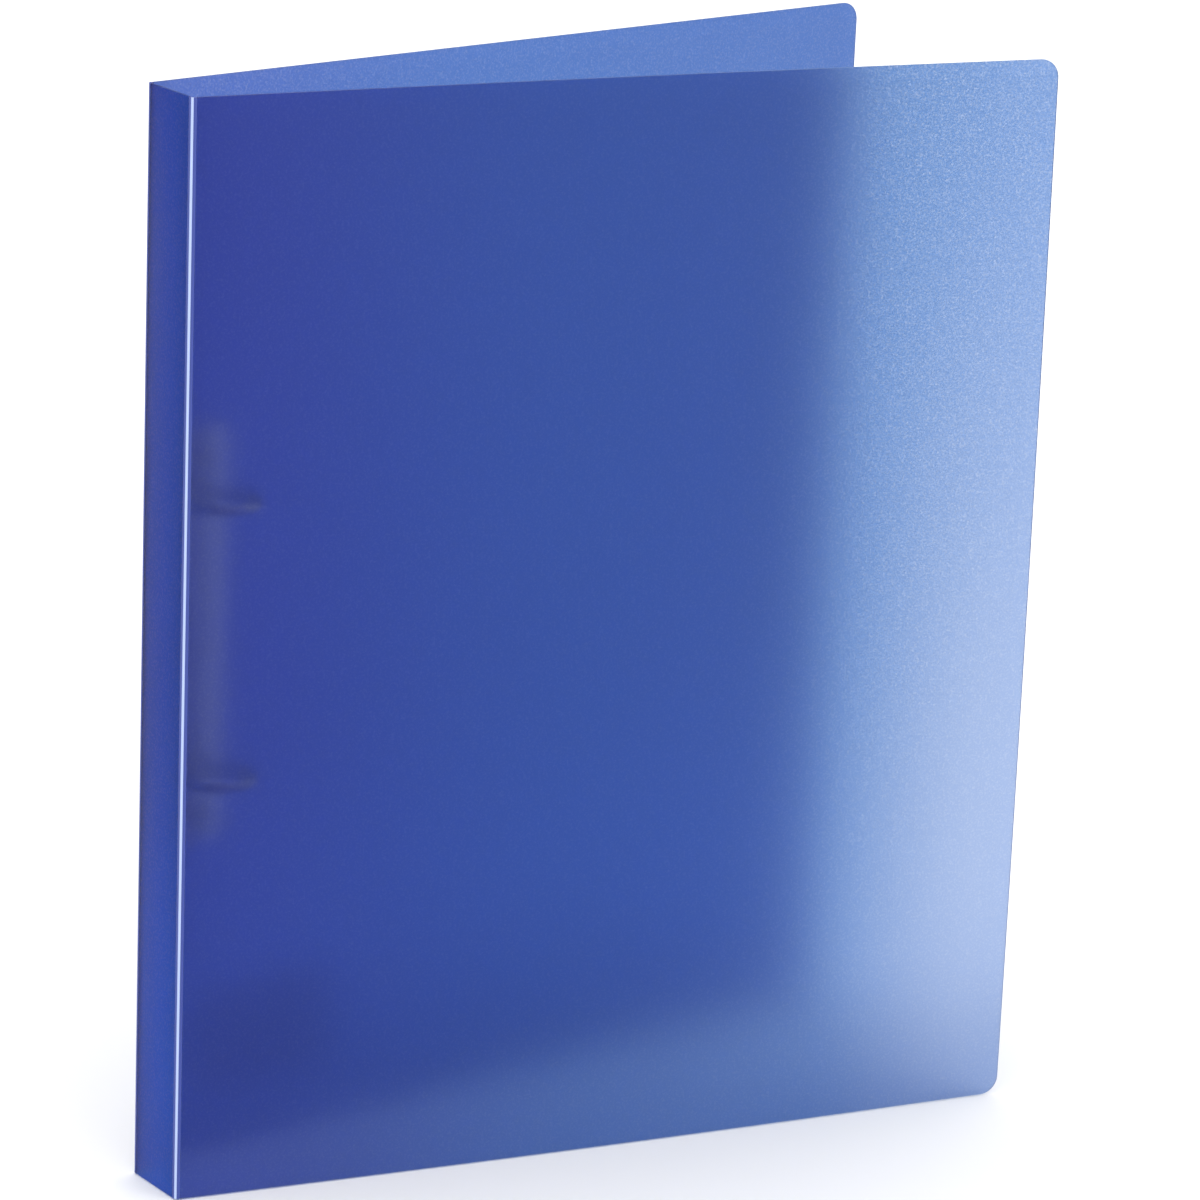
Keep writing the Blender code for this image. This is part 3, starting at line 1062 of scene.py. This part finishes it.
@dataclass
class RingMechanism:
    """The riveted rail with its two round rings, drawn in the back cover's own axes.

    Its section is drawn across the rail (u), from the spine side to the free-edge side, and
    out from the cover's inner face (n). All sizes are in millimetres.
    """

    sheet: float = 0.55
    edge_round: float = 0.08
    half_width: float = 6.9
    base: float = 0.3
    crest: float = 4.2
    lip_end: float = 5.2
    lip_bend: float = 0.6
    shoulder_bend: float = 0.8
    arch_deg: float = 28.0       # the arch's slope where it leaves a shoulder
    lip_steps: int = 4
    shoulder_steps: int = 5
    arch_steps: int = 18
    slot_inner: float = 3.2
    slot_width: float = 3.6
    slot_corner: float = 0.6
    slot_foot: float = -1.0      # the slots run down past the lips to here
    overrun: float = 2.0         # how far a slot cutter reaches past the sheet
    drill_reach: float = 4.0     # how far a drill reaches to each side of its middle
    arch_rise: float = 2.0       # what lies within this of the crest is the arch
    press_mark: tuple[float, float, float] = (2.1, 11.0, 0.28)  # half sizes and depth
    rows: int = 79               # cuts along the rail, so that the dimple is smooth
    ring_radius: float = 9.3     # to the middle of the wire
    wire_radius: float = 1.3
    wire_sides: int = 24
    wire_steps: int = 40         # facets along a half ring
    ring_reach: float = 9.9      # the ring's middle, from the cover
    tip_gap: float = 0.3
    root_deg: float = 242.8
    stub: tuple[float, float, float] = (0.75, 0.4, 0.9)         # base, tip, length
    socket: tuple[float, float, float] = (1.05, 0.65, 1.2)      # mouth, floor, depth
    shank: float = 2.0
    rivet_air: float = 0.3
    head: tuple[float, float] = (4.0, 0.98)                     # the head's radius and rise
    head_rim: tuple[float, float] = (3.9, 0.25)                 # its foot's radius, its wall
    flange: tuple[float, float] = (2.15, 0.43)                  # the rolled flange's middle
    roll: tuple[float, float] = (0.8, 0.4)                      # its half width and height
    eyelet: tuple[float, float, float] = (1.3, 0.2, 1.0)        # radius, depth of lip, floor
    seat_air: float = 0.02
    sides: int = 48              # of what is turned
    rail_x: float = field(init=False)
    levels: dict[Level, float] = field(init=False)
    rivets: dict[Level, float] = field(init=False)

    def __post_init__(self) -> None:
        """Reads the rail, the rings' and the rivets' heights from the frame."""
        self.rail_x = BACK.local(middle_of("rivet_lower")).x
        self.levels = {level: middle_of(f"ring_{level.name.lower()}_spine_side").z
                       for level in Level}
        self.rivets = {level: middle_of(f"rivet_{level.name.lower()}").z for level in Level}

    def at(self, u: float, n: float, height: float = 0.0) -> Vector:
        """A point of the section, in the cover's own axes; the height is in metres."""
        return Vector((self.rail_x + u * MM, -SHEET / 2 - n * MM, height))

    def rivet_places(self) -> list[Vector]:
        """The rivets' middles in the cover's own axes."""
        return [self.at(0.0, 0.0, height) for height in self.rivets.values()]

    def hole_radius(self) -> float:
        """The radius of the rivet holes, in metres."""
        return (self.shank + self.rivet_air) * MM

    def hang(self, piece: bpy.types.Object, body: str, node: str) -> None:
        """Dresses a metal piece that is in place and hangs it on its body.

        Args:
            piece: the piece.
            body: the body that it rides on.
            node: the CAD node that it stands for.
        """
        dress(piece, METAL_FINISH)
        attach(piece, body)
        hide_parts(node)
        log.info("%s rides on %s", piece.name, body)

    def bend_housing(self, low: float, high: float) -> bpy.types.Object:
        """The rail's sheet: lips curled in, walls, and a shallow arch between shoulders.

        Args:
            low: the height of its lower end, in metres.
            high: the height of its upper end.

        Returns:
            The closed sheet, without slots or holes, in the cover's own axes.
        """
        half = self.half_width - self.sheet / 2
        lip_middle = self.base + self.sheet / 2
        lip_radius = self.lip_bend - self.sheet / 2
        slope = math.radians(self.arch_deg)
        arch_half = half - self.shoulder_bend * (1 - math.sin(slope))
        arch_radius = arch_half / math.sin(slope)
        arch_start = self.crest - self.sheet / 2 - arch_radius * (1 - math.cos(slope))
        wall_top = arch_start - self.shoulder_bend * math.cos(slope)
        wall_base = lip_middle + lip_radius
        lip_run = half - lip_radius - self.lip_end
        # seen along the cover's axes the section is upside down, so its bends run leftwards
        strip = BentStrip("ring_housing_arch", self.at(-self.lip_end, lip_middle), 180.0,
                          lip_run * MM, low, high)
        strip.bend(90.0, lip_radius * MM, self.lip_steps)
        strip.run((wall_top - wall_base) * MM)
        strip.bend(90.0 - self.arch_deg, self.shoulder_bend * MM, self.shoulder_steps)
        strip.bend(2 * self.arch_deg, arch_radius * MM, self.arch_steps)
        strip.bend(90.0 - self.arch_deg, self.shoulder_bend * MM, self.shoulder_steps)
        strip.run((wall_top - wall_base) * MM)
        strip.bend(90.0, lip_radius * MM, self.lip_steps)
        strip.run(lip_run * MM)
        cut_loops(strip.piece, spread(low, high, self.rows), 2)
        self.press_middle(strip.piece, (low + high) / 2)
        return strip.finish(self.sheet * MM)

    def press_middle(self, rail: bpy.types.Object, middle: float) -> None:
        """Presses a long shallow dimple into the middle of the arch, which stiffens it.

        Args:
            rail: the rail's middle surface, in edit mode.
            middle: the height of the dimple's middle, in metres.
        """
        half_u, half_z, depth = self.press_mark
        mesh_data = bmesh.from_edit_mesh(rail.data)
        arch_from = self.at(0.0, self.crest - self.arch_rise).y
        for vert in mesh_data.verts:
            across = (vert.co.x - self.rail_x) / (half_u * MM)
            along = max(0.0, abs(vert.co.z - middle) / MM - (half_z - half_u)) / half_u
            reach = math.hypot(across, along)
            if reach < 1.0 and vert.co.y < arch_from:
                vert.co.y += depth * MM * (0.5 + 0.5 * math.cos(math.pi * reach))
        bmesh.update_edit_mesh(rail.data)

    def slot_cutter(self, flank: Flank, height: float) -> bpy.types.Object:
        """A block with round corners that cuts one ring slot, from inside out sideways.

        Args:
            flank: the side of the rail.
            height: of the ring, in metres.

        Returns:
            The block, which reaches well past the rail's sheet.
        """
        side = flank.value
        ends = sorted((side * self.slot_inner, side * (self.half_width + self.overrun)))
        half = self.slot_width / 2 * MM
        low = self.at(ends[0], self.crest + self.overrun, height - half)
        high = self.at(ends[1], self.slot_foot, height + half)
        block = add_block("slot_cutter", low, high)
        edit(block)
        select_in_edit(block, Pick.EDGE, lambda edge: abs(
            edge.verts[0].co.y - edge.verts[1].co.y) > MM)
        bpy.ops.mesh.bevel(offset=self.slot_corner * MM, segments=4, affect="EDGES")
        done()
        return block

    def build_housing(self) -> None:
        """The arched spring-steel housing, with its ring slots and rivet holes."""
        low, high = (corner.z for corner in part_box("ring_housing"))
        rail = self.bend_housing(low, high)
        for height in self.levels.values():
            for flank in Flank:
                cut_away(rail, self.slot_cutter(flank, height))
        for height in self.rivets.values():
            drill = turn_profile("rivet_drill", [
                (self.hole_radius(), -self.drill_reach * MM),
                (self.hole_radius(), self.drill_reach * MM)], self.sides)
            drill.rotation_euler = (math.pi / 2, 0.0, 0.0)
            drill.location = self.at(0.0, self.crest, height)
            apply_place(drill)
            cut_away(rail, drill)
        round_edges(rail, self.edge_round, segments=1, angle_deg=50.0)
        smooth(rail, 32.0)
        BACK.put(rail)
        self.hang(rail, "back", "ring_housing")

    def rivet_profile(self) -> list[tuple[float, float]]:
        """The rivet's rings from the top of its head to the floor of its eyelet.

        Returns:
            The radius and height of each ring, in metres, the height out from the inner face.
        """
        seat = -SHEET / MM - self.seat_air
        head_radius, head_rise = self.head
        rim_radius, rim_wall = self.head_rim
        head = [(head_radius * math.sin(math.radians(turn)),
                 seat - rim_wall - head_rise * math.cos(math.radians(turn)))
                for turn in (5, 20, 35, 50, 65, 80, 90)]
        rim = [(rim_radius, seat), (self.shank, seat),
               (self.shank, self.crest + self.seat_air)]
        roll = [(self.flange[0] + self.roll[0] * math.cos(math.radians(turn)),
                 self.crest + self.flange[1] + self.roll[1] * math.sin(math.radians(turn)))
                for turn in range(-80, 211, 29)]
        bore_radius, lip_depth, bore_floor = self.eyelet
        bore = [(bore_radius, self.crest - lip_depth), (bore_radius, bore_floor)]
        return [(radius * MM, n * MM) for radius, n in head + rim + roll + bore]

    def build_rivets(self) -> None:
        """Two tubular rivets: domed head outside the cover, rolled flange on the rail."""
        for level, height in self.rivets.items():
            name = level.name.lower()
            rivet = turn_profile(f"tubular_rivet_{name}", self.rivet_profile(), self.sides)
            rivet.rotation_euler = (math.pi / 2, 0.0, 0.0)
            rivet.location = self.at(0.0, 0.0, height)
            apply_place(rivet)
            smooth(rivet, 30.0)
            BACK.put(rivet)
            self.hang(rivet, "back", f"rivet_{name}")

    def shape_tip(self, wire: bpy.types.Object, tip: Vector, flank: Flank) -> None:
        """Makes the stub on the spine-side tip, or the socket in the other one.

        The stub runs out of its wire and the socket into the other, both the same way.

        Args:
            wire: the ring half, in edit mode.
            tip: the middle of its tip.
            flank: the side that it is on.
        """
        base, end, depth = self.stub if flank is Flank.SPINE_SIDE else self.socket
        select_in_edit(wire, Pick.FACE, lambda face: len(face.verts) > 4 and (
            face.calc_center_median() - tip).length < 0.2 * MM)
        bpy.ops.mesh.inset(thickness=(self.wire_radius - base) * MM)
        push = Vector((depth * MM, 0.0, 0.0))
        bpy.ops.mesh.extrude_region_move(TRANSFORM_OT_translate={"value": tuple(push)})
        bpy.ops.transform.resize(value=(end / base,) * 3, center_override=tip + push)

    def ring_half(self, flank: Flank, height: float, name: str) -> bpy.types.Object:
        """Half a ring of round wire, from its tip to its root under the rail.

        Args:
            flank: the side that it is on.
            height: of its middle, in metres.
            name: the piece's name.

        Returns:
            The closed wire, in the cover's own axes.
        """
        side = flank.value
        centre = self.at(0.0, self.ring_reach, height)
        tip = centre + Vector((side * self.tip_gap / 2 * MM, -self.ring_radius * MM, 0.0))
        deselect_all()
        bpy.ops.mesh.primitive_circle_add(
            vertices=self.wire_sides, radius=self.wire_radius * MM, fill_type="NGON",
            location=tip,
            rotation=(0.0, math.pi / 2, 0.0))
        wire = take_new(name)
        apply_place(wire)
        edit(wire)
        bpy.ops.mesh.select_all(action="SELECT")
        spin_selection(side * math.radians(self.root_deg - 90.0), centre, self.wire_steps)
        bpy.ops.mesh.select_all(action="SELECT")
        bpy.ops.mesh.remove_doubles(threshold=0.001 * MM)
        bpy.ops.mesh.normals_make_consistent(inside=False)
        self.shape_tip(wire, tip, flank)
        done()
        tidy_mesh(wire)
        round_edges(wire, self.edge_round, segments=2, angle_deg=50.0)
        smooth(wire, 40.0)
        return wire

    def build_rings(self) -> None:
        """Both halves of both rings, each on the body of its carrier blade."""
        for flank in Flank:
            flank_name = flank.name.lower()
            for level, height in self.levels.items():
                node = f"ring_{level.name.lower()}_{flank_name}"
                wire = self.ring_half(flank, height, f"{node}_wire")
                BACK.put(wire)
                self.hang(wire, f"{flank_name}_rings", node)

    def dress_hidden_parts(self) -> None:
        """Gives the blades and rivet posts, whose CAD shape is right, the metal finish."""
        for name, node in frame["nodes"].items():
            if name.startswith(("carrier_blade", "rivet_post")):
                dress(node, METAL_FINISH)

    def build(self) -> None:
        """All of the mechanism."""
        self.build_housing()
        self.build_rivets()
        self.build_rings()
        self.dress_hidden_parts()


@dataclass
class RetailLabel:
    """A blank self-adhesive label with round corners on the outside of the back cover."""

    corner: float = 9.0 * MM
    thickness: float = 0.12 * MM
    gap: float = 0.02 * MM

    def build(self) -> None:
        """Cuts the label to the size and place that the frame gives."""
        low, high = (Vector(corner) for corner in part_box("retail_label"))
        middle = BACK.local((low + high) / 2)
        slope = math.atan2(*BACK.place.to_3x3().col[0].yx)
        half_width = ((high.x - low.x) / 2) / math.cos(slope)
        face = SHEET / 2 + self.gap
        label = add_block("blank_label",
                          (middle.x - half_width, face, low.z),
                          (middle.x + half_width, face + self.thickness, high.z))
        edit(label)
        select_in_edit(label, Pick.EDGE, lambda edge: abs(
            edge.verts[0].co.y - edge.verts[1].co.y) > self.thickness / 2)
        bpy.ops.mesh.bevel(offset=self.corner, segments=12, affect="EDGES")
        done()
        BACK.put(label)
        smooth(label, 35.0)
        dress(label, PAPER_FINISH)
        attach(label, "back")
        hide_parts("retail_label")
        log.info("%s rides on back", label.name)


# ---------------------------------------------------------------- stage, lights, camera


@dataclass
class Studio:
    """A plain pale floor under soft light, and the camera."""

    floor_size: float = 12.0
    floor_drop: float = 0.0004
    lens_mm: float = 160.2
    sensor_mm: float = 36.0
    camera_place: tuple[float, float, float] = (-0.7081, -1.2222, 0.5855)
    yaw_deg: float = 34.952
    pitch_deg: float = 16.159
    roll_deg: float = 2.189
    horizon_glow: float = 0.5
    sky_glow: float = 1.5
    glow_rise: tuple[float, float] = (0.1, 0.7)  # the sine of the height where it changes

    def build_floor(self) -> None:
        """A wide matt floor, just under the binder."""
        deselect_all()
        bpy.ops.mesh.primitive_grid_add(x_subdivisions=2, y_subdivisions=2,
                                        size=self.floor_size,
                                        location=(0.0, 0.0, -self.floor_drop))
        floor = take_new("studio_floor")
        apply_place(floor)
        paint = bpy.data.materials.new("matt_white_floor")
        paint.use_nodes = True
        shader = paint.node_tree.nodes["Principled BSDF"]
        shader.inputs["Base Color"].default_value = srgb("#FCFCFC")
        shader.inputs["Roughness"].default_value = 0.9
        floor.data.materials.append(paint)

    def build_world(self) -> None:
        """White surroundings, brighter overhead than at the horizon."""
        world = bpy.data.worlds.new("white_room")
        bpy.context.scene.world = world
        world.use_nodes = True
        tree = world.node_tree
        where = add_node(tree, "ShaderNodeTexCoord")
        split = add_node(tree, "ShaderNodeSeparateXYZ",
                         inputs={"Vector": where.outputs["Generated"]})
        ramp = add_node(tree, "ShaderNodeMapRange", SMOOTH_STEP, {
            "Value": split.outputs["Z"], "From Min": self.glow_rise[0],
            "From Max": self.glow_rise[1], "To Min": self.horizon_glow,
            "To Max": self.sky_glow})
        background = tree.nodes["Background"]
        background.inputs["Color"].default_value = WHITE
        tree.links.new(ramp.outputs["Result"], background.inputs["Strength"])

    def add_softbox(self, name: str, azimuth_deg: float, height: float, distance: float,
                    size: tuple[float, float], watts: float, aim: Point) -> None:
        """A rectangular soft light.

        Args:
            name: the light's name.
            azimuth_deg: from -Y towards +X, seen from above.
            height: of its middle, in metres.
            distance: from the aim, over the floor.
            size: width and height in metres.
            watts: its power.
            aim: the point it faces.
        """
        azimuth = math.radians(azimuth_deg)
        place = Vector((aim[0] + distance * math.sin(azimuth),
                        aim[1] - distance * math.cos(azimuth), height))
        deselect_all()
        bpy.ops.object.light_add(type="AREA", location=place)
        lamp = bpy.context.active_object
        lamp.name = name
        lamp.data.shape = "RECTANGLE"
        lamp.data.size, lamp.data.size_y = size
        lamp.data.energy = watts
        lamp.rotation_mode = "QUATERNION"
        lamp.rotation_quaternion = (Vector(aim) - place).to_track_quat("-Z", "Y")
        lamp.visible_camera = False

    def build_lights(self) -> None:
        """One key light low at the front right."""
        self.add_softbox("key_softbox", azimuth_deg=22.0, height=0.43, distance=1.55,
                         size=(0.4, 0.5), watts=3.0, aim=(0.2, -0.03, 0.2))

    def build_camera(self) -> None:
        """A long lens from the front left, a little above the binder."""
        deselect_all()
        bpy.ops.object.camera_add()
        camera = bpy.context.active_object
        camera.name = "camera"
        camera.data.lens = self.lens_mm
        camera.data.sensor_width = self.sensor_mm
        camera.data.clip_start = 0.01
        camera.data.clip_end = 50.0
        pan = Matrix.Rotation(-math.radians(self.yaw_deg), 4, "Z")
        tilt = Matrix.Rotation(math.radians(90.0 - self.pitch_deg), 4, "X")
        roll = Matrix.Rotation(math.radians(self.roll_deg), 4, "Z")
        camera.matrix_world = Matrix.Translation(self.camera_place) @ pan @ tilt @ roll
        bpy.context.scene.camera = camera

    def build(self) -> None:
        """The floor, the surroundings, the lights and the camera."""
        self.build_floor()
        self.build_world()
        self.build_lights()
        self.build_camera()
        bpy.context.scene.view_settings.view_transform = "Standard"


def main() -> None:
    """Builds the binder, then the studio round it."""
    logging.basicConfig(level=logging.INFO, format="%(name)s: %(message)s")
    Studio().build()
    mechanism = RingMechanism()
    Shell().build(mechanism.rivet_places(), mechanism.hole_radius())
    mechanism.build()
    RetailLabel().build()


if __name__ == "__main__":
    main()
